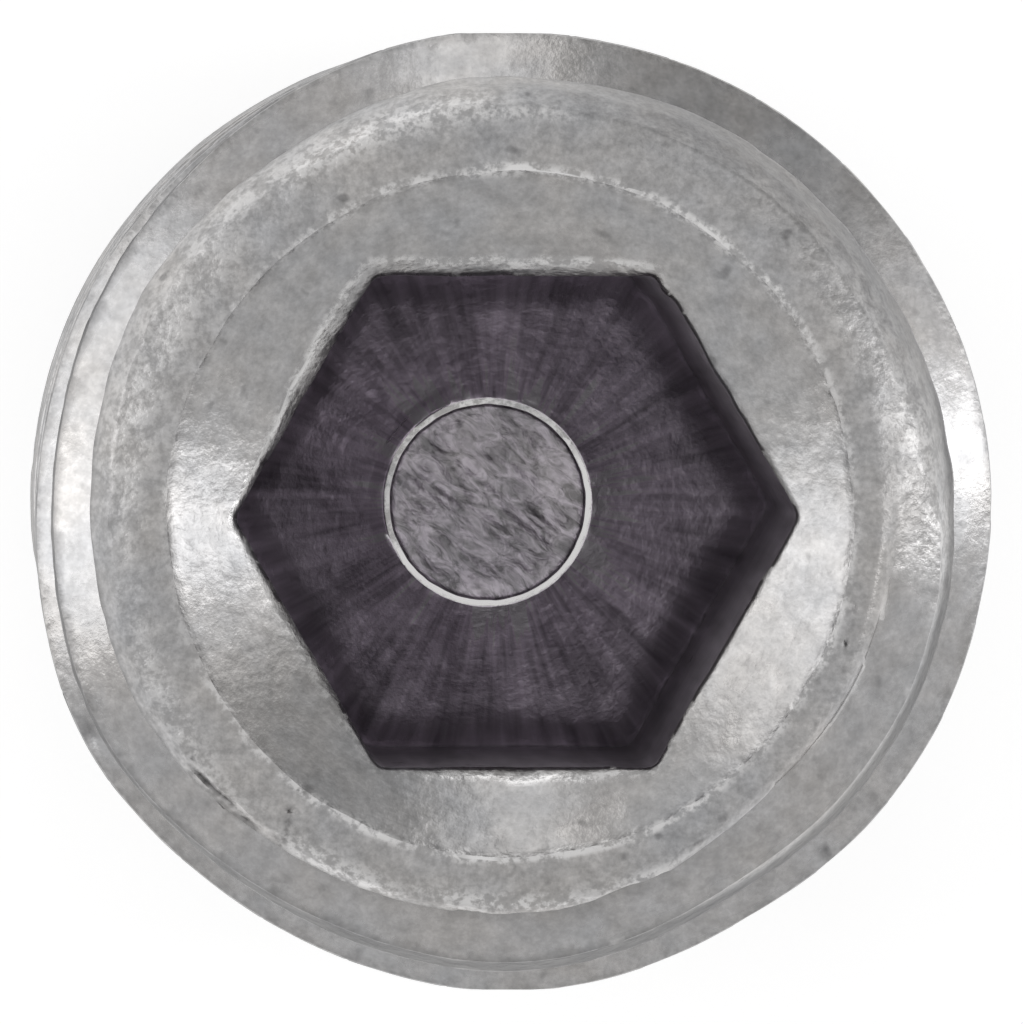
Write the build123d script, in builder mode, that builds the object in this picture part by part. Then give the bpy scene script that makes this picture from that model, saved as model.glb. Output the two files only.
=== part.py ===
from build123d import *
from math import cos, radians, tan
import os

# Headless hexagon-socket locking screw, one solid of steel, millimetres.
# It stands on its flat point at z = 0 with its socket end up, and +Z is its axis.
# Angles are counted counter-clockwise from +X, seen from the socket end.

# Thread: coarse, right-hand, 60 degree form with a flat crest and a rounded root
major_diameter = 8.0
pitch = 1.25
length = 10.0
flank_angle = 30.0
depth_per_pitch = 0.6136
crest_per_pitch = 0.1248
root_rounding = 0.05
groove_exit_angle = 355.0

# Socket end: flat ring, forming bevel, slow run-in and shoulder up to the full crest.
# The insets are radial, in from the full crest.
face_inset = 0.84
bevel_inset = 0.51
bevel_height = 0.33
run_in_inset = 0.26
run_in_height = 0.80
shoulder_slope = 32.0

# Countersink round the socket, pressed a little off the axis, with a steeper lip
countersink_diameter = 5.66
countersink_slope = 32.0
countersink_shift_x = -0.10
countersink_shift_y = 0.03
lip_width = 0.185
lip_slope = 58.0

# Hexagon socket with a cone-shaped floor and the flat print of the forming punch
across_flats = 4.05
socket_depth = 5.70
floor_slope = 30.0
print_diameter = 1.74
print_depth = 0.07
print_bevel = 0.09

# Flat point, chamfered in from the full crest
point_inset = 1.25
point_slope = 45.0

major_radius = major_diameter / 2
minor_radius = major_radius - depth_per_pitch * pitch
crest_width = crest_per_pitch * pitch
corner_radius = across_flats / 2 / cos(radians(30))

# Thread form over one pitch, from the root up over the crest: (radius, rise)
flank_foot_radius = minor_radius + root_rounding
flank_rise = (major_radius - flank_foot_radius) * tan(radians(flank_angle))
root_width = pitch - crest_width - 2 * flank_rise
root_facet_rise = root_rounding * tan(radians(90 - flank_angle)) / 2
thread_form = [
    (flank_foot_radius, 0),
    (minor_radius, root_facet_rise),
    (minor_radius, root_width - root_facet_rise),
    (flank_foot_radius, root_width),
    (major_radius, root_width + flank_rise),
    (major_radius, root_width + flank_rise + crest_width),
    (flank_foot_radius, pitch),
]

# The groove's middle leaves the body through the end face at groove_exit_angle
turns = int(length / pitch) + 3
rod_top_z = length + pitch * (2 - groove_exit_angle / 360) - root_width / 2
rod_base_z = rod_top_z - turns * pitch


def form_helices(z):
    """The helices that the corners of the thread form follow in one turn."""
    return [Edge.make_helix(pitch, pitch, radius, center=(0, 0, z + rise)) for radius, rise in thread_form]


def thread_turn(z):
    """The skin of one full turn: root, lower flank, crest and upper flank."""
    helices = form_helices(z)
    return [Face.make_surface_from_curves(low, high) for low, high in zip(helices, helices[1:])]


def rod_end(z):
    """The spiral floor and the one upright step that close the skin at one end."""
    axis_line = Edge.make_line((0, 0, z), (0, 0, z + pitch))
    spiral = Face.make_surface_from_curves(axis_line, form_helices(z)[0])
    corners = [(0, 0, z)] + [(radius, 0, z + rise) for radius, rise in thread_form] + [(0, 0, z + pitch)]
    return [spiral, Face(Wire.make_polygon(corners, close=True))]


# Endless threaded rod, longer than the screw at both ends
rod_faces = rod_end(rod_base_z) + rod_end(rod_top_z)
for turn in range(turns):
    rod_faces += thread_turn(rod_base_z + turn * pitch)
threaded_rod = Solid(Shell(rod_faces))

# Outline that trims the rod: flat point, clear of the crests between, socket end
crest_clearance = 0.3
clear_radius = major_radius + crest_clearance
point_radius = major_radius - point_inset
point_top_z = (clear_radius - point_radius) * tan(radians(point_slope))
bevel_z = length - bevel_height
run_in_z = bevel_z - run_in_height
shoulder_z = run_in_z - (run_in_inset + crest_clearance) / tan(radians(shoulder_slope))

with BuildPart() as screw:
    add(threaded_rod)
    with BuildSketch(Plane.XZ):
        with BuildLine():
            Polyline(
                (0, 0),
                (point_radius, 0),
                (clear_radius, point_top_z),
                (clear_radius, shoulder_z),
                (major_radius - run_in_inset, run_in_z),
                (major_radius - bevel_inset, bevel_z),
                (major_radius - face_inset, length),
                (0, length),
                close=True,
            )
        make_face()
    revolve(axis=Axis.Z, mode=Mode.INTERSECT)

# Countersink and lip: one turned void round its own, shifted axis
lip_radius = across_flats / 2 + lip_width
lip_top_z = length - (countersink_diameter / 2 - lip_radius) * tan(radians(countersink_slope))
lip_bottom_z = lip_top_z - lip_width * tan(radians(lip_slope))
countersink_centre = (countersink_shift_x, countersink_shift_y, 0)

with BuildPart() as countersink:
    with BuildSketch(Plane(origin=countersink_centre, x_dir=(1, 0, 0), z_dir=(0, -1, 0))):
        with BuildLine():
            Polyline(
                (0, lip_bottom_z),
                (across_flats / 2, lip_bottom_z),
                (lip_radius, lip_top_z),
                (countersink_diameter / 2, length),
                (0, length),
                close=True,
            )
        make_face()
    revolve(axis=Axis(countersink_centre, (0, 0, 1)))

# Socket: a hexagonal prism that ends in a cone and a small flat print
print_z = length - socket_depth
print_rim_z = print_z + print_depth
print_rim_radius = print_diameter / 2 + print_bevel
floor_edge_z = print_rim_z + (corner_radius - print_rim_radius) * tan(radians(floor_slope))

with BuildPart() as socket:
    with BuildSketch(Plane.XZ):
        with BuildLine():
            Polyline(
                (0, print_z),
                (print_diameter / 2, print_z),
                (print_rim_radius, print_rim_z),
                (corner_radius, floor_edge_z),
                (corner_radius, length),
                (0, length),
                close=True,
            )
        make_face()
    revolve(axis=Axis.Z)
    with BuildSketch(Plane.XY.offset(print_z)):
        RegularPolygon(corner_radius, 6)
    extrude(amount=socket_depth, mode=Mode.INTERSECT)

with screw:
    add(countersink.part, mode=Mode.SUBTRACT)
    add(socket.part, mode=Mode.SUBTRACT)

screw.part.label = "locking_screw"

os.makedirs("parts", exist_ok=True)
export_step(screw.part, "parts/locking_screw.step")
print("locking_screw", screw.part.is_valid, round(screw.part.volume, 3), "mm3", len(screw.part.faces()), "faces")
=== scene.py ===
from itertools import product
from math import cos, pi, radians, sin, tan

import bpy
import numpy as np
from mathutils import Matrix, Vector


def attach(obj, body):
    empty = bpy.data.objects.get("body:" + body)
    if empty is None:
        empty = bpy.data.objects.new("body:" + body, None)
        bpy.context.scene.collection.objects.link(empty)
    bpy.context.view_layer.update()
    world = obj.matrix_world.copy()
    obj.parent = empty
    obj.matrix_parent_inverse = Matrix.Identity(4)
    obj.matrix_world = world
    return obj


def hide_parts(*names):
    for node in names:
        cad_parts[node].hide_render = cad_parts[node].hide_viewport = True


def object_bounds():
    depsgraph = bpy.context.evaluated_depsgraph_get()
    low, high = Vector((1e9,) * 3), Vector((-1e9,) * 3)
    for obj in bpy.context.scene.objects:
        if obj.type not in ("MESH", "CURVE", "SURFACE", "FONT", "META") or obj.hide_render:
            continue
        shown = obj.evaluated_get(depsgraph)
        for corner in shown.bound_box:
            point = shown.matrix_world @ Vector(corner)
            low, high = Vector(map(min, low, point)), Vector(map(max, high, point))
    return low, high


bl_info = {
    "name": "Locking Screw",
    "version": (1, 0, 0),
    "blender": (4, 5, 0),
    "location": "View3D > Sidebar > Locking Screw",
    "description": "Builds a headless hexagon-socket locking screw, its plated steel and its studio",
    "category": "Object",
}

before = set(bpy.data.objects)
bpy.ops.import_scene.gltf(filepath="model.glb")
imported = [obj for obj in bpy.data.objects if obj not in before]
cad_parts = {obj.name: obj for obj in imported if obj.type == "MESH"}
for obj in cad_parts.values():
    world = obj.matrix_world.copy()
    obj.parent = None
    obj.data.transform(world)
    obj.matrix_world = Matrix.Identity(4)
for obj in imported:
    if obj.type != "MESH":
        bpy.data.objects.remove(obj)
CAD_LOW, CAD_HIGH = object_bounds()
NODE = "locking_screw"
MM = 0.001
TAU = 2 * pi
CREST_RADIUS = (CAD_HIGH.x - CAD_LOW.x) / 2 / MM
LENGTH = (CAD_HIGH.z - CAD_LOW.z) / MM

# What the mesh tells the material at each point: unrolled skin, inside of the socket, painted shade (in
# roots, seams, pits and down the socket), and wear with painted highlights on edges
MARKS = ("raw", "inside", "painted_shade", "wear_and_painted_highlight")
# Edge lines that rows of the mesh follow along each ridge. A point on one is numbered LINES * ridge plus its
# line, and a point on none is 0
CREST_LOW, CREST_HIGH, CREST_SEAM, ROOT_LOW, ROOT_HIGH = range(1, 6)
LINES = 6
# Points round the upper turns, spacing of the rows below and above the split in mm, and rows over the end
COLUMNS = 504
LOWER_ROW = 0.0765
UPPER_ROW = 0.042
SPLIT_BELOW_FACE = 3.1
FACE_ROWS = 38

# Departures of the crest from a true circle: direction, half-width in degrees, height in mm
OUT_OF_ROUND = (
    (301, 16, -0.076), (324, 10, -0.020), (345, 14, -0.022), (208, 16, 0.074), (12, 12, 0.005),
    (132, 12, -0.030), (99, 10, 0.030), (268, 14, 0.022), (170, 14, -0.018), (65, 22, 0.008))

# Height of the ridge's outer corner as it climbs from the end face: turns below the exit, radius in mm
RIDGE_GROWTH = (
    (0.95, 3.64), (1.00, 3.655), (1.07, 3.67), (1.15, 3.71), (1.24, 3.78), (1.32, 3.81), (1.40, 3.86),
    (1.49, 3.89), (1.57, 3.93), (1.63, 3.985), (1.70, 4.0))
# How far the shoulder stands off its turned shape along the first turn: turns below the exit, mm
SHOULDER_TRIM = (
    (0.0, 0.0), (0.10, -0.03), (0.18, -0.13), (0.24, -0.13), (0.32, -0.06), (0.42, 0.0), (0.49, 0.09),
    (0.57, 0.13), (0.62, 0.10), (0.65, 0.045), (0.71, 0.05), (0.82, 0.01), (0.88, -0.03), (0.97, -0.05))
# How far the ridge's top leans in towards the end: turns below the exit, mm for each mm of height
RIDGE_LEAN = ((1.0, 0.28), (1.3, 0.20), (1.42, 0.08), (1.7, 0.0))
# Turns below the exit at which the ridge takes over from the turned shoulder, and over how many
RIDGE_START = 0.975
RIDGE_BLEND = 0.04

# Radius from which the end face falls away, and how far its edge lies below its middle, in mm
CROWN_START = 2.93
FACE_DROP = 0.12
# Fillet at the foot of the socket's walls: height and reach over the floor, in mm
FOOT_FILLET = 0.08
FOOT_REACH = 0.34
# Radius of the ledge round part of the socket's floor, and its drop, in mm
LEDGE_RADIUS = 1.075
LEDGE_DROP = 0.012
# How much deeper, and wider on each side, the groove is where it leaves the face, in mm
SHARP_DEPTH = 0.15
EXIT_WIDENING = 0.10
# How much lower the crest's corners are than its middle, in mm
CREST_ROUNDING = 0.014
# Depth of the seam along the crest and how far it varies, in mm
SEAM_DEPTH = 0.014
SEAM_UNEVEN = 0.012
# Fall of the lip in towards the hexagon, mm for each mm
LIP_FALL = 0.22

# The bead round the print: inset from its outer edge, height over the print's place, strength of its painted
# highlight
BEAD = (
    (0.008, 0.066, 0.6), (0.018, 0.067, 1.2), (0.050, 0.067, 1.2), (0.060, 0.066, 0.9),
    (0.067, 0.051, 0.2), (0.085, 0.042, 0.0))
# Strength of the bead's painted highlight, by direction in degrees
BEAD_SHINE = ((0, 1.0), (40, 0.7), (62, 0.45), (85, 0.6), (110, 0.7), (140, 0.5), (195, 0.5), (215, 1.0),
              (330, 0.9), (360, 1.0))
# Height of the print's middle over its place in mm, and the way its metal is smeared
PRINT_LEVEL = 0.036
SMEAR_ANGLE = radians(-38)

# Small pits and dents: direction in degrees, radius in mm, half-length in degrees, half-width and depth in mm
DENTS = (
    (233.6, 3.28, 0.9, 0.070, 0.035),
    (232.4, 3.17, 0.9, 0.060, 0.040),
    (231.4, 3.08, 0.6, 0.030, 0.045),
    (225.0, 3.370, 5.0, 0.016, 0.062),
    (219.0, 3.390, 2.8, 0.015, 0.058),
    (223.0, 3.50, 1.0, 0.030, 0.020),
    (312.6, 3.83, 0.55, 0.028, 0.070),
    (311.4, 3.89, 0.45, 0.040, 0.030),
    (344.6, 2.85, 0.50, 0.018, 0.045),
    (341.8, 2.86, 0.35, 0.016, 0.040),
    (338.6, 2.87, 0.70, 0.018, 0.045),
    (16.3, 3.87, 0.50, 0.018, 0.035),
    (292.5, 3.64, 0.9, 0.020, 0.030),
    (297.0, 3.65, 1.2, 0.025, 0.035),
    (268.0, 3.92, 1.0, 0.015, 0.030),
    (273.8, 3.90, 0.5, 0.025, 0.035),
    (208.0, 3.985, 2.0, 0.020, 0.040),
    (250.5, 3.88, 0.5, 0.020, 0.025),
    (330.0, 3.93, 0.8, 0.012, 0.025),
    (112.0, 3.88, 0.5, 0.022, 0.025),
    (101.0, 3.93, 0.6, 0.016, 0.025),
    (140.0, 3.88, 0.5, 0.016, 0.020),
)
# How far below the face dents, burnishing and its painted sparkle reach, and the depth at which a dent is
# painted fully in shade, in mm
DENT_REACH = 2.6
FULLY_SHADED_DENT = 0.06

# How far each flat of the hexagon is off its even place, mm, from the one at 30 degrees on
FLAT_OFF = (0.014, -0.028, -0.014, -0.012, 0.034, -0.002)

# Arc of the shoulder with painted shade on that side: direction, half-width in degrees, strength
PAINTED_SHADE_ARC = (46, 40, 0.50)

# The hexagon's corner that is pressed blunt, in degrees
BLUNT_CORNER = 58

# Burnished patches of the end, with painted sparkle highlights: direction, half-width in degrees, radius,
# width in mm, strength
BURNISH_AND_PAINTED_SPARKLE = (
    (110, 17, 3.40, 0.11, 0.8),
    (92, 9, 3.34, 0.05, 0.6),
    (133, 12, 3.46, 0.10, 0.4),
    (157, 22, 3.30, 0.22, 0.35),
    (212, 16, 3.32, 0.09, 0.4),
    (243, 10, 3.27, 0.09, 0.8),
    (268, 14, 3.19, 0.08, 0.8),
    (295, 16, 3.15, 0.06, 0.75),
    (325, 20, 3.13, 0.05, 0.4),
    (356, 7, 3.38, 0.15, 0.8),
    (8, 12, 3.30, 0.16, 0.5),
    (24, 16, 3.20, 0.20, 0.25),
)

# Strength of the painted highlight along the countersink's edge, by direction in degrees
EDGE_SHINE = ((0, 0.25), (20, 0.35), (28, 0.85), (70, 1.0), (112, 0.8), (130, 0.35), (150, 0.15), (195, 0.2),
              (212, 0.6), (240, 0.85), (300, 0.85), (312, 0.4), (335, 0.7), (352, 0.4), (360, 0.25))
# The lip round the hexagon: direction in degrees, width in mm, strength of the painted highlight on its edge
LIP = (
    (0, 0.03, 0), (55, 0.03, 0), (66, 0.12, 0.8), (85, 0.14, 0.9), (110, 0.13, 0.7), (122, 0.16, 0.5),
    (130, 0.19, 0.9), (145, 0.13, 1.0), (165, 0.08, 1.0), (178, 0.06, 1.0), (186, 0.06, 0.3),
    (200, 0.09, 0.5), (232, 0.07, 0.6), (244, 0.05, 0.3), (255, 0.09, 0.7), (270, 0.12, 0.8),
    (290, 0.08, 0.8), (300, 0.04, 0.3), (306, 0.03, 0), (360, 0.03, 0))

# Colours of the painted shade and dark specks, of wear and painted highlights, and the slight tints of the
# plating
PAINTED_SHADE_AND_SPECK_GREY = (0.07, 0.068, 0.07)
BARE_STEEL_AND_PAINTED_HIGHLIGHT = (0.86, 0.85, 0.845)
WARM_TINT = (1.0, 0.985, 0.965)
COOL_TINT = (0.965, 0.98, 1.0)

# Soft boxes: name, compass angle, width in metres, lamp setting that it follows, share of that setting
SOFT_BOXES = (
    ("left_box", 179, 0.032, "left_lamp", 1.0),
    ("left_fill", 152, 0.050, "left_lamp", 0.62),
    ("right_box", 1.0, 0.018, "right_lamp", 1.0),
    ("right_fill", 18, 0.030, "right_lamp", 0.10),
    ("back_box", 88, 0.030, "back_lamp", 1.0),
)
BOX_ELEVATION = 28
BOX_DISTANCE = 0.09
BOX_HEIGHT = 0.040
FLOOR_CORNERS = 96


class ThreadSizes(bpy.types.PropertyGroup):
    """Rolled thread and the socket end's run-in, in millimetres"""

    pitch: bpy.props.FloatProperty(
        name="Pitch", description="Climb of the thread in one turn, mm", default=1.25, min=0.2)
    flank_angle: bpy.props.FloatProperty(
        name="Flank angle", description="Angle of each flank", default=radians(30), subtype="ANGLE")
    depth: bpy.props.FloatProperty(
        name="Depth", description="Depth of the groove below the crest, mm", default=0.767, min=0.05)
    root_rounding: bpy.props.FloatProperty(
        name="Root rounding", description="Height of the rounded root, mm", default=0.08, min=0.0)
    crest_width: bpy.props.FloatProperty(
        name="Crest width", description="Width of the full crest, mm", default=0.156, min=0.01)
    exit_angle: bpy.props.FloatProperty(
        name="Exit angle", description="Where the groove leaves through the face", default=radians(355),
        subtype="ANGLE")
    face_inset: bpy.props.FloatProperty(
        name="Face inset", description="From the crest in to the face's edge, mm", default=0.84)
    bevel_inset: bpy.props.FloatProperty(
        name="Bevel inset", description="From the crest in to the foot of the bevel, mm", default=0.51)
    bevel_height: bpy.props.FloatProperty(
        name="Bevel height", description="Height of the bevel below the face, mm", default=0.33)
    run_in_inset: bpy.props.FloatProperty(
        name="Run-in inset", description="From the crest in to the foot of the run-in, mm", default=0.26)
    run_in_height: bpy.props.FloatProperty(
        name="Run-in height", description="Height of the slow run-in, mm", default=0.80)
    shoulder_angle: bpy.props.FloatProperty(
        name="Shoulder angle", description="Shoulder against the axis", default=radians(32), subtype="ANGLE")
    point_inset: bpy.props.FloatProperty(
        name="Point inset", description="From the crest in to the flat point's edge, mm", default=1.25)


class SocketSizes(bpy.types.PropertyGroup):
    """Countersink and hexagon socket, in millimetres"""

    across_flats: bpy.props.FloatProperty(
        name="Across flats", description="Width of the hexagon, mm", default=4.05, min=0.5)
    hexagon_x: bpy.props.FloatProperty(
        name="Hexagon X", description="How far the hexagon is off the axis, mm", default=-0.045)
    hexagon_y: bpy.props.FloatProperty(
        name="Hexagon Y", description="How far the hexagon is off the axis, mm", default=-0.012)
    depth: bpy.props.FloatProperty(
        name="Depth", description="Depth of the socket, mm", default=5.70, min=0.5)
    countersink_radius: bpy.props.FloatProperty(
        name="Countersink radius", description="Radius of the countersink at the face, mm", default=2.83)
    countersink_slope: bpy.props.FloatProperty(
        name="Countersink slope", description="Slope from the face", default=radians(32), subtype="ANGLE")
    shift_x: bpy.props.FloatProperty(
        name="Shift X", description="How far the countersink is off the axis, mm", default=-0.10)
    shift_y: bpy.props.FloatProperty(
        name="Shift Y", description="How far the countersink is off the axis, mm", default=0.03)
    floor_slope: bpy.props.FloatProperty(
        name="Floor slope", description="Slope of the socket's floor", default=radians(30), subtype="ANGLE")
    print_radius: bpy.props.FloatProperty(
        name="Print radius", description="Radius of the punch's flat print, mm", default=0.82)
    print_x: bpy.props.FloatProperty(
        name="Print X", description="How far the print is off the axis, mm", default=-0.086)
    print_y: bpy.props.FloatProperty(
        name="Print Y", description="How far the print is off the axis, mm", default=0.006)
    print_depth: bpy.props.FloatProperty(
        name="Print depth", description="Depth of the print, mm", default=0.07)
    print_bevel: bpy.props.FloatProperty(
        name="Print bevel", description="Width of the print's bevel, mm", default=0.085)


class SteelFinish(bpy.types.PropertyGroup):
    """Colours and gloss of the plated steel"""

    plating: bpy.props.FloatVectorProperty(
        name="Plating", description="Colour of the plating", default=(0.48, 0.473, 0.472), subtype="COLOR")
    dull_plating_and_painted_shade: bpy.props.FloatVectorProperty(
        name="Dull plating", description="Colour where the plating is dull", default=(0.43, 0.423, 0.423),
        subtype="COLOR")
    socket: bpy.props.FloatVectorProperty(
        name="Socket", description="Colour deep in the socket", default=(0.455, 0.414, 0.465),
        subtype="COLOR")
    rolled_roughness: bpy.props.FloatProperty(
        name="Rolled roughness", description="Roughness of the rolled flanks", default=0.24,
        subtype="FACTOR")
    raw_roughness: bpy.props.FloatProperty(
        name="Raw roughness", description="Roughness of the unrolled skin", default=0.46, subtype="FACTOR")


class StudioSettings(bpy.types.PropertyGroup):
    """Floor, lamps and camera"""

    floor_colour: bpy.props.FloatVectorProperty(
        name="Floor", description="Colour of the floor", default=(0.5, 0.5, 0.5), subtype="COLOR")
    floor_glow: bpy.props.FloatProperty(
        name="Floor glow", description="Whiteness that the floor shows by itself", default=0.68, min=0.0)
    floor_radius: bpy.props.FloatProperty(
        name="Floor radius", description="Radius of the round floor", default=1.5, unit="LENGTH")
    sky: bpy.props.FloatProperty(
        name="Sky", description="Light from low down all round", default=0.66, min=0.0)
    overhead: bpy.props.FloatProperty(
        name="Overhead", description="Light from straight above", default=0.72, min=0.0)
    dim_side: bpy.props.FloatProperty(
        name="Dim side", description="Share of the light that is left at the right rear", default=0.6,
        subtype="FACTOR")
    left_lamp: bpy.props.FloatProperty(
        name="Left lamp", description="Radiance of the left soft box", default=1.42, min=0.0)
    right_lamp: bpy.props.FloatProperty(
        name="Right lamp", description="Radiance of the right soft box", default=3.2, min=0.0)
    back_lamp: bpy.props.FloatProperty(
        name="Back lamp", description="Radiance of the soft box at the top of the view", default=0.75,
        min=0.0)
    camera_distance: bpy.props.FloatProperty(
        name="Camera distance", description="Height above the face", default=0.125, unit="LENGTH")
    camera_x: bpy.props.FloatProperty(
        name="Camera X", description="How far the camera stands to the side", default=-0.0048, unit="LENGTH")
    camera_y: bpy.props.FloatProperty(
        name="Camera Y", description="How far the camera stands to the back", default=0.00285, unit="LENGTH")
    aim_x: bpy.props.FloatProperty(
        name="Aim X", description="Point of the face that the camera aims at", default=-0.000092,
        unit="LENGTH")
    aim_y: bpy.props.FloatProperty(
        name="Aim Y", description="Point of the face that the camera aims at", default=0.000047,
        unit="LENGTH")
    camera_lens: bpy.props.FloatProperty(
        name="Lens", description="Focal length, mm", default=535.0, min=1.0)


def lattice_noise(points, size, seed):
    """Smooth noise from -1 to 1 at points of shape (n, 3), with bumps about size wide."""
    cell = np.asarray(points) / size
    base = np.floor(cell).astype(np.int64)
    part = cell - base
    part = part * part * (3 - 2 * part)
    total = np.zeros(len(cell))
    for corner in product((0, 1), repeat=3):
        node = base + corner
        mixed = node[:, 0] * 374761393 + node[:, 1] * 668265263 + node[:, 2] * 2246822519 + seed * 3266489917
        mixed &= 0xFFFFFFFF
        mixed = ((mixed ^ (mixed >> 15)) * 2654435761) & 0xFFFFFFFF
        mixed = ((mixed ^ (mixed >> 13)) * 1274126177) & 0xFFFFFFFF
        value = ((mixed >> 8) & 0xFFFF) / 32767.5 - 1
        weight = np.prod(np.where(corner, part, 1 - part), axis=1)
        total += value * weight
    return total


def ring_noise(angle, z, size, seed):
    """Noise on the screw's side. z has the shape of angle, or is one height for all."""
    angle, z = np.broadcast_arrays(angle, z)
    flat = np.column_stack([
        np.cos(angle).ravel() * CREST_RADIUS, np.sin(angle).ravel() * CREST_RADIUS, z.ravel()])
    return lattice_noise(flat, size, seed).reshape(angle.shape)


class Skin:
    """Rings of points, from the middle of the flat point out, up, and in to the middle of the socket's
    floor, joined into one closed skin."""

    def __init__(self):
        self.points = []
        self.faces = []
        self.marks = []
        self.count = 0
        self.last = None
        self.last_corner = None

    def add_ring(self, x, y, z, marks, corner=None):
        """Adds a ring and joins it to the one before. corner names the edge that each point lies on, or 0."""
        ring = np.arange(self.count, self.count + len(x))
        self.points.append(np.column_stack([x, y, z]))
        self.marks.append(np.column_stack([np.broadcast_to(m, x.shape) for m in marks]))
        self.count += len(x)
        if self.last is not None:
            self.join(self.last, ring, self.last_corner, corner)
        self.last = ring
        self.last_corner = corner

    def join(self, low, high, low_corner, high_corner):
        """Joins two rings with triangles. Their counts are equal, or one is twice the other."""
        if len(low) == 1 or len(high) == 1:
            self.join_fan(low, high)
        elif len(low) == len(high):
            self.join_even(low, high, low_corner, high_corner)
        else:
            self.join_halving(low, high)

    def join_fan(self, low, high):
        if len(low) == 1:
            tip, rim = low[0], high
            self.faces.append(np.column_stack([np.full(len(rim), tip), np.roll(rim, -1), rim]))
        else:
            tip, rim = high[0], low
            self.faces.append(np.column_stack([np.full(len(rim), tip), rim, np.roll(rim, -1)]))

    def join_even(self, low, high, low_corner, high_corner):
        low_next, high_next = np.roll(low, -1), np.roll(high, -1)
        rising = np.ones(len(low), dtype=bool)
        if low_corner is not None and high_corner is not None:
            falls = (high_corner > 0) & (high_corner == np.roll(low_corner, -1))
            climbs = (low_corner > 0) & (low_corner == np.roll(high_corner, -1))
            rising = ~falls | climbs
        first = np.where(rising[:, None], np.column_stack([low, low_next, high_next]),
                         np.column_stack([low, low_next, high]))
        second = np.where(rising[:, None], np.column_stack([low, high_next, high]),
                          np.column_stack([low_next, high_next, high]))
        self.faces += [first, second]

    def join_halving(self, low, high):
        """One ring has twice as many points as the other."""
        fine, coarse = (low, high) if len(low) > len(high) else (high, low)
        even, odd, next_even = fine[::2], fine[1::2], np.roll(fine[::2], -1)
        next_coarse = np.roll(coarse, -1)
        joins = [np.column_stack([even, odd, coarse]), np.column_stack([odd, next_even, next_coarse]),
                 np.column_stack([odd, next_coarse, coarse])]
        self.faces += joins if fine is low else [join[:, ::-1] for join in joins]

    def mesh(self, name):
        mesh = bpy.data.meshes.new(name)
        points = np.clip(np.concatenate(self.points) * MM, CAD_LOW, CAD_HIGH)
        faces = np.concatenate(self.faces)
        mesh.from_pydata(points.tolist(), [], faces.tolist())
        marks = np.concatenate(self.marks)
        for index, label in enumerate(MARKS):
            layer = mesh.attributes.new(label, "FLOAT", "POINT")
            layer.data.foreach_set("value", np.ascontiguousarray(marks[:, index], dtype=np.float32))
        mesh.update()
        return mesh


def degrees_from(middle, direction):
    """Angle from a middle direction to each direction, from -180 to 180 degrees."""
    return (direction - middle + 180) % 360 - 180


def exit_width(turns):
    """How much wider the groove is on each side, by turns from where it leaves the face."""
    return EXIT_WIDENING * np.clip((0.12 - np.abs(turns)) / 0.06, 0, 1)


def exit_turns(thread, angle, z):
    """Turns down the nearest groove from where it leaves through the face."""
    start = (thread.exit_angle - angle) / TAU
    return start - np.round((z - LENGTH) / thread.pitch + start)


def groove_distance(thread, angle, z):
    """Distance along the axis from the nearest groove's middle, less what it is wider at its exit."""
    turn = (z - LENGTH) / thread.pitch + (thread.exit_angle - angle) / TAU
    plain = np.abs(turn - np.round(turn)) * thread.pitch
    return np.clip(plain - exit_width(exit_turns(thread, angle, z)), 0, None)


def root_sharpness(thread, angle, z):
    """1 where the groove leaves through the face, cut sharp and deep, and 0 from a third of a turn on."""
    return np.clip((0.34 - exit_turns(thread, angle, z)) / 0.22, 0, 1)


def torn(thread, angle, z):
    """1 on the rough patch where the groove breaks out through the face."""
    turns = exit_turns(thread, angle, z)
    return np.clip((0.02 - turns) / 0.03, 0, 1) * (turns > -0.2)


def root_width(thread):
    """Half the width of the groove's rounded root."""
    foot = CREST_RADIUS - thread.depth + thread.root_rounding
    return thread.pitch / 2 - thread.crest_width / 2 - (CREST_RADIUS - foot) * tan(thread.flank_angle)


def flank_radius(thread, distance, sharp):
    """Radius of the groove's wall at a distance from its middle, with a rounded root."""
    slope = 1 / tan(thread.flank_angle)
    rounding = thread.root_rounding * (1 - 0.8 * sharp)
    root_radius = CREST_RADIUS - thread.depth - SHARP_DEPTH * sharp
    foot_radius = root_radius + rounding
    half_root = thread.pitch / 2 - thread.crest_width / 2 - (CREST_RADIUS - foot_radius) / slope
    power = slope * half_root / rounding
    rounded = root_radius + rounding * (distance / half_root) ** power
    straight = foot_radius + (distance - half_root) * slope
    return np.where(distance < half_root, rounded, straight)


def swell(angle, z):
    """How far the upper turns stand off a true circle."""
    total = np.zeros(np.shape(z))
    for direction, half_width, height in OUT_OF_ROUND:
        away = degrees_from(direction, np.degrees(angle))
        total = total + height * np.exp(-(away / half_width) ** 2)
    return total * np.clip((z - (LENGTH - 4.5)) / 1.5, 0, 1)


def turns_down(thread, angle, z):
    """Turns from where the groove leaves through the face, down along the ridge, to each point."""
    start = (thread.exit_angle - angle) / TAU
    return start - np.floor((z - LENGTH) / thread.pitch + start)


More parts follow.
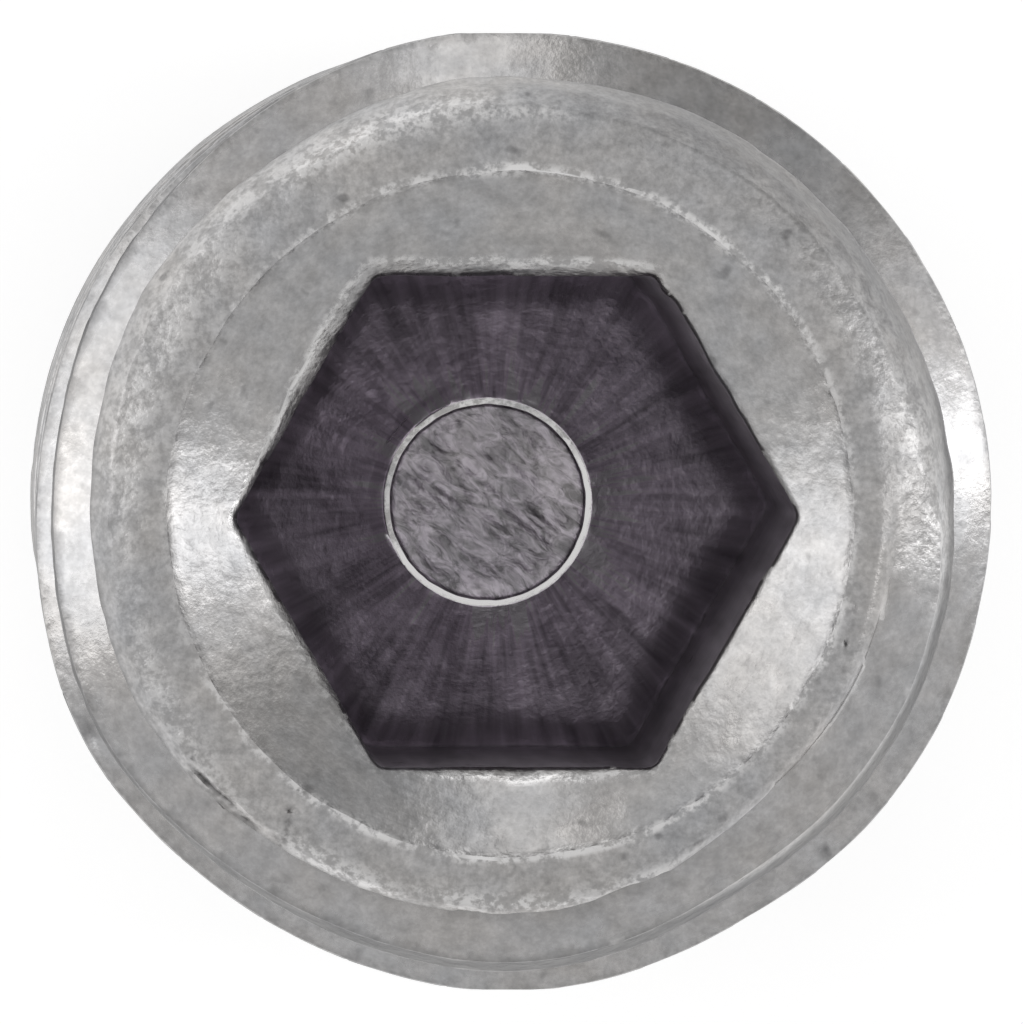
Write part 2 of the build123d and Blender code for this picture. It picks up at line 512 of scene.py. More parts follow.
def body_radius(thread, angle, z):
    """Radius of the body before its grooves: point, full crest, shoulder, run-in and rounded bevel."""
    bevel_z = LENGTH - thread.bevel_height
    run_in_z = bevel_z - thread.run_in_height
    shoulder_z = run_in_z - thread.run_in_inset / tan(thread.shoulder_angle)
    heights = (0, thread.point_inset, shoulder_z, run_in_z, bevel_z, LENGTH - FACE_DROP, LENGTH)
    insets = (thread.point_inset, 0, 0, thread.run_in_inset, thread.bevel_inset,
              (thread.bevel_inset + thread.face_inset) / 2 - 0.01, thread.face_inset)
    turned = CREST_RADIUS - np.interp(z, heights, insets)
    turns = turns_down(thread, angle, z)
    turned = turned + np.interp(turns, *zip(*SHOULDER_TRIM))
    middle = LENGTH + thread.pitch * (0.5 - turns)
    growth = np.interp(turns, *zip(*RIDGE_GROWTH)) * CREST_RADIUS / RIDGE_GROWTH[-1][1]
    lean = np.interp(turns, *zip(*RIDGE_LEAN))
    rolled = growth - lean * np.clip(z - middle + 0.2, 0, None)
    share = np.clip((turns - RIDGE_START) / RIDGE_BLEND, 0, 1)
    radius = turned * (1 - share) + np.minimum(rolled, CREST_RADIUS) * share
    radius = np.minimum(radius, CREST_RADIUS - np.clip(thread.point_inset - z, 0, None))
    radius = radius + swell(angle, z)
    ragged = 0.55 * ring_noise(angle, z, 0.34, 11) + 0.45 * ring_noise(angle, z, 0.16, 12)
    return radius + ragged * (0.003 + 0.016 * (1 - share) * np.clip((z - shoulder_z) / 0.4, 0, 1))


def crest_drop(body):
    """How much lower the crest's corners are than its middle, where the body has its full size."""
    return CREST_ROUNDING * np.clip((body - CREST_RADIUS + 0.2) / 0.1, 0, 1)


def crest_corners(thread, angle, ridge):
    """Heights of the lower and upper corner of one ridge's crest, at each angle."""
    start = (thread.exit_angle - angle) / TAU
    middle = LENGTH + thread.pitch * (ridge + 0.5 - start)
    lowest = middle - thread.crest_width / 2 + exit_width(start - ridge)
    highest = middle + thread.crest_width / 2 - exit_width(start - ridge - 1)
    low, high = lowest, highest
    run = tan(thread.flank_angle)
    for _ in range(12):
        body = body_radius(thread, angle, low)
        full = CREST_RADIUS + swell(angle, low)
        low = lowest - (full - body + crest_drop(body)) * run
        body = body_radius(thread, angle, high)
        full = CREST_RADIUS + swell(angle, high)
        high = highest + (full - body + crest_drop(body)) * run
    return low, high


def snap(levels, grid, corner, heights, number, usable):
    """Moves the nearest inner row of each column onto a corner line."""
    nearest = np.abs(levels[:, None] - heights[None, :]).argmin(axis=0)
    column = np.arange(len(heights))
    inner = usable & (nearest > 0) & (nearest < len(levels) - 1) & (corner[nearest, column] == 0)
    column = column[inner]
    grid[nearest[inner], column] = heights[inner]
    corner[nearest[inner], column] = number


def line_up_rows(thread, angle, levels, grid):
    """Moves rows of the grid onto each ridge's edge lines, and gives each point the number of its line."""
    corner = np.zeros(grid.shape, dtype=int)
    ridges = range(-int(LENGTH / thread.pitch) - 3, 2)
    lows, highs = zip(*[crest_corners(thread, angle, ridge) for ridge in ridges])
    for number, low in enumerate(lows):
        high = highs[number]
        gap_below = low > highs[number - 1] + 0.02 if number else np.ones(len(angle), dtype=bool)
        gap_above = lows[number + 1] > high + 0.02 if number + 1 < len(lows) else gap_below
        snap(levels, grid, corner, low, LINES * number + CREST_LOW, gap_below)
        snap(levels, grid, corner, high, LINES * number + CREST_HIGH, gap_above)
        snap(levels, grid, corner, (low + high) / 2, LINES * number + CREST_SEAM, high - low < 0.30)
    root = root_width(thread)
    for number, ridge in enumerate(ridges):
        middle = LENGTH + thread.pitch * (ridge - (thread.exit_angle - angle) / TAU)
        free = middle < LENGTH - 1.6
        snap(levels, grid, corner, middle - root, LINES * number + ROOT_LOW, free)
        snap(levels, grid, corner, middle + root, LINES * number + ROOT_HIGH, free)
    return corner


def thread_tones(thread, angle, turns, radius, raw, sharp, line, seam):
    """Painted shade and painted highlight at each point of the thread: shade in the roots, along the crest
    seam, under the ridge's lower edge, on the steep unrolled strips and on one arc of the shoulder, and a
    highlight along the upper crest edge.
    """
    root = np.clip(1 - (radius - (CREST_RADIUS - thread.depth)) / 0.16, 0, 1)
    above_face_edge = radius - (CREST_RADIUS - thread.face_inset + 0.36)
    steep = raw * np.clip((turns - 0.85) / 0.12, 0, 1) * np.interp(turns, (1.6, 1.8), (1.0, 0.55))
    steep = steep * np.clip(above_face_edge / 0.06, 0, 1)
    # Painted shade on one arc of the shoulder
    direction, half_width, strength = PAINTED_SHADE_ARC
    off = degrees_from(direction, np.degrees(angle)) / half_width
    dull_plating_and_painted_shade = strength * np.exp(-off ** 4) * raw * np.clip((radius - 3.15) / 0.35, 0, 1) * (turns < 1.2)
    painted_shade = np.maximum(root * 0.6 * (1 - raw) * (1 - sharp), np.where(seam, 0.55, 0))
    painted_shade = np.maximum(painted_shade, dull_plating_and_painted_shade)
    painted_shade = np.maximum(painted_shade, np.maximum(0.8 * steep, np.where(line == CREST_LOW, 0.5, 0)))
    wear_and_painted_highlight = np.where((line == CREST_HIGH) & (turns > 1.6), 0.12, 0)
    return painted_shade, wear_and_painted_highlight


def add_thread(skin, thread, angle, levels):
    """Adds the threaded side between the lowest and the highest level."""
    grid = np.repeat(levels[:, None], len(angle), axis=1)
    corner = line_up_rows(thread, angle, levels, grid)
    line = corner % LINES
    spread = np.broadcast_to(angle, grid.shape)
    body = body_radius(thread, spread, grid)
    from_groove = groove_distance(thread, spread, grid)
    from_middle = np.clip((thread.pitch / 2 - from_groove) / (thread.crest_width / 2), 0, 1)
    body = body - crest_drop(body) * from_middle ** 2
    sharp = root_sharpness(thread, spread, grid)
    flank = flank_radius(thread, from_groove, sharp) + swell(spread, grid)
    radius = np.minimum(body, flank)
    raw = np.clip((flank - body) / 0.02 + 0.5, 0, 1)
    raw = np.maximum(raw, 0.9 * torn(thread, spread, grid))
    seam = (line == CREST_SEAM) & (body > CREST_RADIUS - 0.45)
    depth = SEAM_DEPTH + SEAM_UNEVEN * ring_noise(spread, grid, 0.5, 21)
    depth = depth * np.where(grid > LENGTH - SPLIT_BELOW_FACE, 1, 0.3)
    radius = radius - np.where(seam, depth, 0)
    grain = ring_noise(spread, grid, 0.15, 31) * 0.6 + ring_noise(spread, grid, 0.075, 32) * 0.4
    corner_calm = np.where((line == CREST_LOW) | (line == CREST_HIGH), 0.35, 1)
    above_shoulder = np.clip((grid - (LENGTH - 1.9)) / 0.5, 0.15, 1)
    radius = radius + grain * corner_calm * (0.0018 * (1 - raw) + 0.009 * raw * above_shoulder)
    turns = turns_down(thread, spread, grid)
    painted_shade, wear_and_painted_highlight = thread_tones(thread, spread, turns, radius, raw, sharp, line, seam)
    for row in range(len(levels)):
        x, y = radius[row] * np.cos(angle), radius[row] * np.sin(angle)
        # shine: painted highlight on the upper crest edge and painted sparkle on burnished patches
        shine, dent = wear_and_painted_highlight[row], 0
        if levels[row] > LENGTH - DENT_REACH:
            dent = dent_depth(x, y)
            shine = np.maximum(shine, burnish_and_painted_sparkle(x, y) * raw[row])
        # Painted shade of the thread's marks and of the dents' pits
        painted_shade_and_specks = np.maximum(painted_shade[row], np.clip(dent / FULLY_SHADED_DENT, 0, 1))
        skin.add_ring(x, y, grid[row] - dent, (raw[row], 0, painted_shade_and_specks, shine), corner[row])


def hexagon_radius(socket, angle):
    """Distance from the axis to the socket's wall, with its corners a little rounded."""
    walls = []
    for side, off in enumerate(FLAT_OFF):
        facing = radians(30 + 60 * side)
        middle = socket.across_flats / 2 + off
        middle = middle + socket.hexagon_x * cos(facing) + socket.hexagon_y * sin(facing)
        walls.append(middle / np.clip(np.cos(angle - facing), 0.5, 1))
    walls = np.sort(np.array(walls), axis=0)
    radius = walls[0] - 0.022 * np.exp(-(walls[1] - walls[0]) / 0.035)
    blunt = np.exp(-((np.degrees(angle) - BLUNT_CORNER) / 2.6) ** 2)
    return radius - 0.06 * blunt


def rim_radius(socket, angle):
    """Distance from the axis to the upper edge of the hexagon, a little ragged."""
    return hexagon_radius(socket, angle) + 0.010 * ring_noise(angle, 0.0, 0.35, 41)


def end_height(socket, x, y):
    """Height of the face and the countersink over a point."""
    away = np.hypot(x - socket.shift_x, y - socket.shift_y)
    return LENGTH - np.clip(socket.countersink_radius - away, 0, None) * tan(socket.countersink_slope)


def circle_from_axis(socket, angle, radius):
    """Distance from the screw's axis to a circle round the countersink's own centre."""
    along = socket.shift_x * np.cos(angle) + socket.shift_y * np.sin(angle)
    return along + np.sqrt(along ** 2 - socket.shift_x ** 2 - socket.shift_y ** 2 + radius ** 2)


def dent_depth(x, y):
    """How far the pits and dents reach into the end of the screw."""
    depth = np.zeros(np.shape(x))
    direction, reach = np.degrees(np.arctan2(y, x)), np.hypot(x, y)
    for middle, distance, half_length, half_width, deep in DENTS:
        turn = degrees_from(middle, direction) / half_length
        depth = depth + deep * np.exp(-turn ** 2 - ((reach - distance) / half_width) ** 2)
    return depth


def burnish_and_painted_sparkle(x, y):
    """How burnished the end is, and how strong its painted sparkle, over each point."""
    strength = np.zeros(np.shape(x))
    direction = np.degrees(np.arctan2(y, x))
    for middle, half_width, distance, width, shine in BURNISH_AND_PAINTED_SPARKLE:
        turn = degrees_from(middle, direction) / half_width
        across = (np.hypot(x, y) - distance) / width
        strength = np.maximum(strength, shine * np.exp(-turn ** 4 - across ** 2))
    return strength


def add_end_face(skin, thread, socket, angle, rows):
    """Adds the face, the countersink and the lip, from the face's edge in to the hexagon, and gives the
    height of the hexagon's edge."""
    level = np.full(len(angle), LENGTH - FACE_DROP)
    sharp = root_sharpness(thread, angle, level)
    groove = flank_radius(thread, groove_distance(thread, angle, level), sharp) + swell(angle, level)
    outer = np.minimum(body_radius(thread, angle, level), groove)
    inner = rim_radius(socket, angle)
    share = np.linspace(0, 1, rows)[:, None]
    radius = outer[None, :] * (1 - share) + inner[None, :] * share
    corner = np.zeros(radius.shape, dtype=int)
    edge = socket.countersink_radius + 0.014 * ring_noise(angle, 3.0, 0.5, 42)
    degrees = np.degrees(angle)
    directions, widths, shines = zip(*LIP)
    lip_shine = np.interp(degrees, directions, shines)
    lip = np.interp(degrees, directions, widths) * (1 + 0.2 * ring_noise(angle, 5.0, 0.5, 43))
    column = np.arange(len(angle))
    for number, line in enumerate((circle_from_axis(socket, angle, edge), inner + lip), start=1):
        nearest = np.abs(radius - line[None, :]).argmin(axis=0)
        usable = (nearest > 0) & (nearest < rows - 1)
        radius[nearest[usable], column[usable]] = line[usable]
        corner[nearest[usable], column[usable]] = number
    x, y = radius * np.cos(angle), radius * np.sin(angle)
    away = np.hypot(x - socket.shift_x, y - socket.shift_y)
    crown = np.clip((radius - CROWN_START) / (outer[None, :] - CROWN_START), 0, None)
    z = end_height(socket, x, y) - FACE_DROP * crown ** 2
    from_rim = radius - inner[None, :]
    z = z - np.clip(lip[None, :] - from_rim, 0, None) * LIP_FALL
    z = z - 0.012 * np.clip(1 - from_rim / 0.035, 0, 1) ** 2
    cone = np.clip((socket.countersink_radius - away) / 0.05, 0, 1)
    burr = np.exp(-((away - edge[None, :]) / 0.022) ** 2)
    flat = np.column_stack([x.ravel(), y.ravel(), z.ravel()])
    coarse = lattice_noise(flat, 0.30, 51).reshape(x.shape)
    grain = (lattice_noise(flat, 0.15, 52) * 0.6 + lattice_noise(flat, 0.075, 53) * 0.4).reshape(x.shape)
    z = z + grain * (0.0055 * (1 - cone) + 0.0030 * cone) + coarse * 0.004 + burr * (0.004 + 0.006 * coarse)
    settle = np.clip((1 - crown) / 0.2, 0, 1)
    dent = dent_depth(x, y)
    z = np.minimum(z - 0.012 * (1 - burr * 0.6) * settle, LENGTH) - dent
    raw = 1 - 0.75 * cone
    # Painted highlights along the countersink's edge and the lip's edge, and painted sparkle on burnished
    # patches
    edge_shine = np.interp(degrees, *zip(*EDGE_SHINE))
    on_lip_edge = np.exp(-((from_rim - lip[None, :] + 0.02) / 0.040) ** 4)
    in_lip = 0.35 * np.clip((lip[None, :] - from_rim) / 0.03, 0, 1)
    bead_width = 0.042 * (1 + 0.4 * ring_noise(angle, 7.0, 0.22, 44))
    bead = np.exp(-((away - edge[None, :] - 0.014) / bead_width) ** 4)
    wear_and_painted_highlight = np.maximum(bead * edge_shine * (0.95 + 0.35 * coarse), np.maximum(on_lip_edge, in_lip) * lip_shine)
    wear_and_painted_highlight = np.maximum(wear_and_painted_highlight, burnish_and_painted_sparkle(x, y) * (1 - cone))
    # Painted shade in the dents
    painted_shade = np.clip(dent / FULLY_SHADED_DENT, 0, 1)
    for row in range(1, rows):
        skin.add_ring(x[row], y[row], z[row], (raw[row], 0, painted_shade[row], wear_and_painted_highlight[row]), corner[row])
    return z[-1]


def add_socket(skin, socket, angle, rim_z):
    """Adds the hexagon's walls, the cone-shaped floor and the punch's print."""
    wall = hexagon_radius(socket, angle)
    wall_x, wall_y = wall * np.cos(angle), wall * np.sin(angle)
    print_z = LENGTH - socket.depth
    rim = socket.print_radius + socket.print_bevel
    rim_x, rim_y = socket.print_x + rim * np.cos(angle), socket.print_y + rim * np.sin(angle)
    span = np.hypot(wall_x - rim_x, wall_y - rim_y)
    foot = print_z + socket.print_depth + span * tan(socket.floor_slope) + FOOT_FILLET
    for share in (0.012, 0.03, *np.linspace(0.06, 1, 20)):
        z = rim_z * (1 - share) + foot * share
        fade = max(0, 1 - share / 0.2)
        radius = wall * (1 - fade) + rim_radius(socket, angle) * fade + (1 - fade) * 0.006 * ring_noise(
            angle, z * 0.12, 0.16, 61)
        # Painted shade on the walls, deeper further down
        skin.add_ring(radius * np.cos(angle), radius * np.sin(angle), z,
                      (0.2, 0.8 + 0.2 * share, 0.50 + 0.25 * share, 0))
    direction = np.column_stack([np.cos(angle) * 9, np.sin(angle) * 9])
    ledge_side = np.interp(np.degrees(angle), (105, 118, 192, 205), (0, 1, 1, 0))
    for share in (0.02, 0.05, 0.09, *np.linspace(0.14, 1, 31)):
        x, y = wall_x * (1 - share) + rim_x * share, wall_y * (1 - share) + rim_y * share
        from_wall = span * share
        z = print_z + socket.print_depth + span * (1 - share) * tan(socket.floor_slope)
        z = z + FOOT_FILLET * np.clip(1 - from_wall / FOOT_REACH, 0, 1) ** 2
        reach = np.hypot(x, y)
        streak = lattice_noise(np.column_stack([direction, reach * 1.2]), 0.55, 62)
        fine = lattice_noise(np.column_stack([direction * 2.6, reach * 2.5]), 0.55, 63)
        ease = np.clip(share / 0.15, 0, 1) * np.clip((1 - share) / 0.05, 0, 1)
        ledge = np.clip((LEDGE_RADIUS - reach) / 0.03, 0, 1) * ledge_side
        z = z + ease * (0.006 * streak + 0.004 * fine) - LEDGE_DROP * ledge
        # Painted shade on the floor near the walls, heavier on one side
        shadow_side = np.clip(0.25 + 0.6 * np.cos(angle + radians(35)), 0.08, 1)
        edge = np.clip(1 - from_wall / 0.45, 0, 1) * shadow_side
        glint = 0.5 * np.exp(-((reach - LEDGE_RADIUS) / 0.02) ** 2) * (ledge > 0.02) * ease
        skin.add_ring(x, y, z, (0.3, 1.0, 0.40 * edge, glint))
    add_print(skin, socket, angle, print_z, rim)


def ring_points(count, size, limits):
    """Angles of a ring's points, half as many for each limit that its size is below."""
    for limit in limits:
        if size < limit:
            count //= 2
    return np.arange(count) * TAU / count


def add_print(skin, socket, angle, print_z, rim):
    """Adds the punch's round print with the bead round it and the bead's painted highlight."""
    for inset, height, wear_and_painted_highlight in BEAD:
        radius = rim - inset + 0.004 * ring_noise(angle, 2.0, 0.4, 73)
        z = np.full(len(angle), print_z + height)
        # Painted highlight on the bead, stronger on some sides
        shine = wear_and_painted_highlight * np.interp(np.degrees(angle), *zip(*BEAD_SHINE))
        skin.add_ring(socket.print_x + radius * np.cos(angle), socket.print_y + radius * np.sin(angle), z,
                      (0.3, 0.7 - 0.6 * wear_and_painted_highlight, 0, shine))
    for radius in np.linspace(socket.print_radius - 0.03, 0.04, 24):
        ring = ring_points(len(angle), radius, (0.56, 0.26))
        x, y = radius * np.cos(ring), radius * np.sin(ring)
        along = x * cos(SMEAR_ANGLE) + y * sin(SMEAR_ANGLE)
        across = y * cos(SMEAR_ANGLE) - x * sin(SMEAR_ANGLE)
        smear = lattice_noise(np.column_stack([along * 0.35, across, x * 0]), 0.07, 71)
        blot = lattice_noise(np.column_stack([x, y, x * 0]), 0.24, 72)
        ease = np.clip((socket.print_radius - radius) / 0.12, 0, 1)
        z = print_z + PRINT_LEVEL + ease * (0.010 * smear + 0.012 * blot)
        skin.add_ring(socket.print_x + x, socket.print_y + y, z, (0.6, 0.5, 0, 0))
    skin.add_ring(np.full(1, socket.print_x), np.full(1, socket.print_y), np.full(1, print_z + PRINT_LEVEL),
                  (0.6, 0.5, 0, 0))


def add_point(skin, thread, angle):
    """Adds the flat point, from its middle out to its edge."""
    edge = CREST_RADIUS - thread.point_inset
    skin.add_ring(np.zeros(1), np.zeros(1), np.zeros(1), (0.6, 0, 0, 0))
    for share in (0.08, 0.18, 0.30, 0.42, 0.54, 0.66, 0.78, 0.88, 0.96):
        ring = ring_points(len(angle), share, (0.5, 0.25))
        radius = edge * share
        skin.add_ring(radius * np.cos(ring), radius * np.sin(ring), np.zeros(len(ring)), (0.6, 0, 0, 0))


def screw_mesh(thread, socket):
    """The whole screw as one closed skin."""
    fine = np.arange(COLUMNS) * TAU / COLUMNS
    plain = fine[::2]
    split = LENGTH - SPLIT_BELOW_FACE
    lower = np.linspace(0, split, int(split / LOWER_ROW) + 1)
    upper = np.linspace(split, LENGTH - FACE_DROP, int(SPLIT_BELOW_FACE / UPPER_ROW) - 1)[1:]
    skin = Skin()
    add_point(skin, thread, plain)
    add_thread(skin, thread, plain, lower)
    add_thread(skin, thread, fine, upper)
    rim_z = add_end_face(skin, thread, socket, fine, FACE_ROWS)
    add_socket(skin, socket, plain, rim_z[::2])
    mesh = skin.mesh("locking_screw_body")
    mesh.shade_smooth()
    mesh.set_sharp_from_angle(angle=radians(40))
    return mesh


class Bench:
    """Adds and links the nodes of one material."""

    def __init__(self, tree):
        self.tree = tree
        tree.nodes.clear()

    def feed(self, socket, value):
        if isinstance(value, bpy.types.NodeSocket):
            self.tree.links.new(value, socket)
        else:
            socket.default_value = value

    def node(self, kind, inputs=None, **settings):
        made = self.tree.nodes.new(kind)
        for name, value in settings.items():
            setattr(made, name, value)
        for name, value in (inputs or {}).items():
            self.feed(made.inputs[name], value)
        return made

    def mark(self, label):
        """One of the marks that the mesh carries at its points."""
        return self.node("ShaderNodeAttribute", attribute_name=label).outputs["Fac"]

    def math(self, operation, first, second=0.0):
        return self.node("ShaderNodeMath", {0: first, 1: second}, operation=operation).outputs[0]

    def times(self, first, second):
        return self.math("MULTIPLY", first, second)

    def vector(self, x, y, z):
        return self.node("ShaderNodeCombineXYZ", {0: x, 1: y, 2: z}).outputs[0]

    def stretch(self, vector, scale):
        return self.node("ShaderNodeVectorMath", {0: vector, 1: scale}, operation="MULTIPLY").outputs[0]

    def noise(self, vector, scale, detail=2.0, rough=0.5, twist=0.0):
        inputs = {"Vector": vector, "Scale": scale, "Detail": detail, "Roughness": rough, "Distortion": twist}
        return self.node("ShaderNodeTexNoise", inputs).outputs["Fac"]

    def span(self, value, low, high, to_low=0.0, to_high=1.0):
        """Carries value from low..high over to to_low..to_high, and holds it there."""
        inputs = {0: value, 1: low, 2: high, 3: to_low, 4: to_high}
        return self.node("ShaderNodeMapRange", inputs).outputs[0]

    def blend(self, share, first, second):
        """Colour that goes from first to second with share."""
        inputs = {0: share, 6: opaque(first), 7: opaque(second)}
        return self.node("ShaderNodeMix", inputs, data_type="RGBA").outputs[2]

    def tinted(self, colour, tint):
        """Colour multiplied by a tint, or by a plain number."""
        inputs = {0: 1.0, 6: colour, 7: tint}
        return self.node("ShaderNodeMix", inputs, data_type="RGBA", blend_type="MULTIPLY").outputs[2]

    def mingle(self, share, first, second):
        """Number that goes from first to second with share."""
        return self.node("ShaderNodeMix", {0: share, 2: first, 3: second}).outputs[0]

    def bump(self, height, distance, strength, below=None):
        inputs = {"Height": height, "Distance": distance, "Strength": strength}
        if below is not None:
            inputs["Normal"] = below
        return self.node("ShaderNodeBump", inputs).outputs["Normal"]


def opaque(colour):
    """A colour property with the fourth number that a colour socket wants."""
    if isinstance(colour, bpy.types.NodeSocket):
        return colour
    return (*colour, 1.0)


def scaled(colour, factor):
    return [factor * part for part in colour]


def plated_steel(finish, socket):
    """Dull zinc-like plating over steel, bright where it is rolled, with painted shade deep in the socket, in
    creases and pits, dark specks, wear with painted highlights, and painted light over the socket's floor and
    print.
    """
    material = bpy.data.materials.new("plated_steel")
    material.use_nodes = True
    bench = Bench(material.node_tree)
    raw, inside, painted_shade, wear_and_painted_highlight = [bench.mark(label) for label in MARKS]
    place = bench.node("ShaderNodeTexCoord").outputs["Object"]
    apart = bench.node("ShaderNodeSeparateXYZ", {0: place})
    x, y, z = apart.outputs[0], apart.outputs[1], apart.outputs[2]
    flat_length = bench.node("ShaderNodeVectorMath", {0: bench.vector(x, y, 0.0)}, operation="LENGTH")
    radius = bench.math("MAXIMUM", flat_length.outputs["Value"], 1e-5)
    turn_x, turn_y = bench.math("DIVIDE", x, radius), bench.math("DIVIDE", y, radius)

    def wrapped(around, across, fineness):
        """Coordinates that run round the axis, and finely along another distance."""
        return bench.vector(
            bench.times(turn_x, around), bench.times(turn_y, around), bench.times(across, fineness))

    cloud = bench.noise(place, 1100.0, 3.0, 0.6)
    grain = bench.noise(place, 20000.0, 2.0, 0.65)
    lumps = bench.noise(place, 6000.0, 1.5, 0.5)
    speck = bench.noise(place, 5200.0, 1.5, 0.6)
    along = bench.math("ADD", radius, bench.times(z, 0.6))
    rolled = bench.noise(wrapped(2.2, along, 14000.0), 1.0, 1.5, 0.6)
    spokes = bench.noise(wrapped(16.0, radius, 1400.0), 1.0, 2.0, 0.6)
    scraped = bench.noise(bench.stretch(place, (7000.0, 7000.0, 420.0)), 1.0, 1.5, 0.6)
    in_floor = bench.span(z, 0.0056, 0.0060, 1.0, 0.0)
    print_z = CAD_HIGH.z - socket.depth * MM
    on_print = bench.span(z, print_z + 0.000052, print_z + 0.000060, 1.0, 0.0)
    turn = bench.node(
        "ShaderNodeVectorRotate", {"Vector": place, "Angle": -SMEAR_ANGLE}, rotation_type="Z_AXIS")
    smeared = bench.noise(bench.stretch(turn.outputs[0], (4200.0, 9500.0, 3000.0)), 1.0, 3.0, 0.66, 1.1)

    dulled = bench.times(raw, bench.span(cloud, 0.3, 0.75, 0.35, 1.0))
    shade = bench.blend(dulled, finish.plating, finish.dull_plating_and_painted_shade)
    shade = bench.tinted(shade, bench.blend(bench.span(cloud, 0.35, 0.7), WARM_TINT, COOL_TINT))
    mottle = bench.mingle(
        raw, bench.span(grain, 0.3, 0.7, 0.90, 1.10), bench.span(grain, 0.3, 0.7, 0.84, 1.16))
    mottle = bench.times(mottle, bench.span(lumps, 0.3, 0.7, 0.88, 1.12))
    shade = bench.tinted(shade, mottle)
    streak = bench.mingle(on_print, bench.mingle(in_floor, scraped, spokes), smeared)
    sector = bench.noise(wrapped(3.2, radius, 900.0), 1.0, 2.0, 0.5)
    light = bench.math("ADD", bench.times(streak, 0.5), bench.times(sector, 0.5))
    on_floor = bench.blend(
        bench.span(light, 0.36, 0.64), scaled(finish.socket, 0.65), scaled(finish.socket, 1.7))
    in_print = bench.blend(
        bench.span(smeared, 0.36, 0.64), scaled(finish.socket, 0.30), scaled(finish.socket, 2.1))
    deep = bench.blend(on_print, on_floor, in_print)
    # Painted light: the socket's floor brighter near the print, and the print brighter towards -y
    painted_light_near_print = bench.span(radius, 0.0009, 0.0018, 1.9, 1.0)
    painted_light_lift = bench.mingle(on_print, painted_light_near_print, bench.span(y, -0.0009, 0.0009, 1.2, 0.85))
    shade = bench.blend(inside, shade, bench.tinted(deep, painted_light_lift))
    # Painted shade from the mesh's shade mark, with dark specks of the rough skin
    pepper = bench.times(bench.span(speck, 0.66, 0.76), bench.mingle(raw, 0.25, 0.5))
    painted_shade_and_specks = bench.math("MAXIMUM", bench.times(painted_shade, 0.85), pepper)
    shade = bench.blend(painted_shade_and_specks, shade, PAINTED_SHADE_AND_SPECK_GREY)
    # Wear and painted highlights: granular bare steel where the mesh marks them
    crumbs = bench.math("ADD", bench.times(lumps, 0.5), bench.times(grain, 0.5))
    crumbs = bench.math("MAXIMUM", bench.span(crumbs, 0.45, 0.56, 0.15, 1.0), bench.span(wear_and_painted_highlight, 0.82, 0.98))
    shade = bench.blend(bench.times(wear_and_painted_highlight, crumbs), shade, BARE_STEEL_AND_PAINTED_HIGHLIGHT)

    rough = bench.mingle(raw, finish.rolled_roughness, finish.raw_roughness)
    rough = bench.math("ADD", rough, bench.span(cloud, 0.3, 0.7, -0.05, 0.06))
    rough = bench.math("ADD", rough, bench.times(inside, 0.04))
    rough = bench.math("SUBTRACT", rough, bench.times(wear_and_painted_highlight, 0.14))

    normal = bench.bump(grain, 1.6e-5, bench.mingle(raw, 0.12, 0.45))
    normal = bench.bump(lumps, 2.4e-5, bench.mingle(raw, 0.08, 0.9), normal)
    smooth_flank = bench.math("SUBTRACT", 1.0, bench.math("MAXIMUM", raw, inside))
    normal = bench.bump(rolled, 6e-6, bench.times(smooth_flank, 0.6), normal)
    normal = bench.bump(smeared, 1.0e-5, bench.times(on_print, inside), normal)
    steel = bench.node("ShaderNodeBsdfPrincipled", {
        "Base Color": shade, "Metallic": bench.span(painted_shade_and_specks, 0.25, 1.0, 1.0, 0.15), "Roughness": rough,
        "Normal": normal, "Specular IOR Level": 0.2})
    bench.node("ShaderNodeOutputMaterial", {"Surface": steel.outputs[0]})
    return material


class LOCKINGSCREW_OT_screw(bpy.types.Operator):
    """Add the screw, with its rolled thread, countersink and hexagon socket"""

    bl_idname = "locking_screw.add_screw"
    bl_label = "Add Screw"

    def execute(self, context):
        scene = context.scene
        mesh = screw_mesh(scene.locking_screw_thread, scene.locking_screw_socket)
        screw = bpy.data.objects.new("locking_screw_body", mesh)
        scene.collection.objects.link(screw)
        mesh.materials.append(plated_steel(scene.locking_screw_steel, scene.locking_screw_socket))
        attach(screw, "root")
        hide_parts(NODE)
        return {"FINISHED"}


def pale_floor(studio):
    """A floor that shows as white to the eye and in the metal, and keeps the screw's soft shadow."""
    material = bpy.data.materials.new("pale_floor")
    material.use_nodes = True
    bench = Bench(material.node_tree)
    rays = bench.node("ShaderNodeLightPath").outputs
    seen = bench.math("MAXIMUM", rays["Is Camera Ray"], rays["Is Glossy Ray"])
    seen = bench.math("MAXIMUM", seen, rays["Is Transmission Ray"])
    lit = bench.node("ShaderNodeBsdfDiffuse", {"Color": opaque(studio.floor_colour)})
    glow = bench.node("ShaderNodeEmission", {"Strength": bench.times(seen, studio.floor_glow)})
    both = bench.node("ShaderNodeAddShader", {0: lit.outputs[0], 1: glow.outputs[0]})
    bench.node("ShaderNodeOutputMaterial", {"Surface": both.outputs[0]})
    return material


def add_floor(scene, studio):
    """A wide round floor at the height of the flat point."""
    corners = range(FLOOR_CORNERS)
    rim = [(cos(TAU * corner / FLOOR_CORNERS), sin(TAU * corner / FLOOR_CORNERS)) for corner in corners]
    mesh = bpy.data.meshes.new("floor")
    points = [(studio.floor_radius * x, studio.floor_radius * y, CAD_LOW.z) for x, y in rim]
    mesh.from_pydata(points, [], [list(corners)])
    mesh.materials.append(pale_floor(studio))
    floor = bpy.data.objects.new("floor", mesh)
    scene.collection.objects.link(floor)


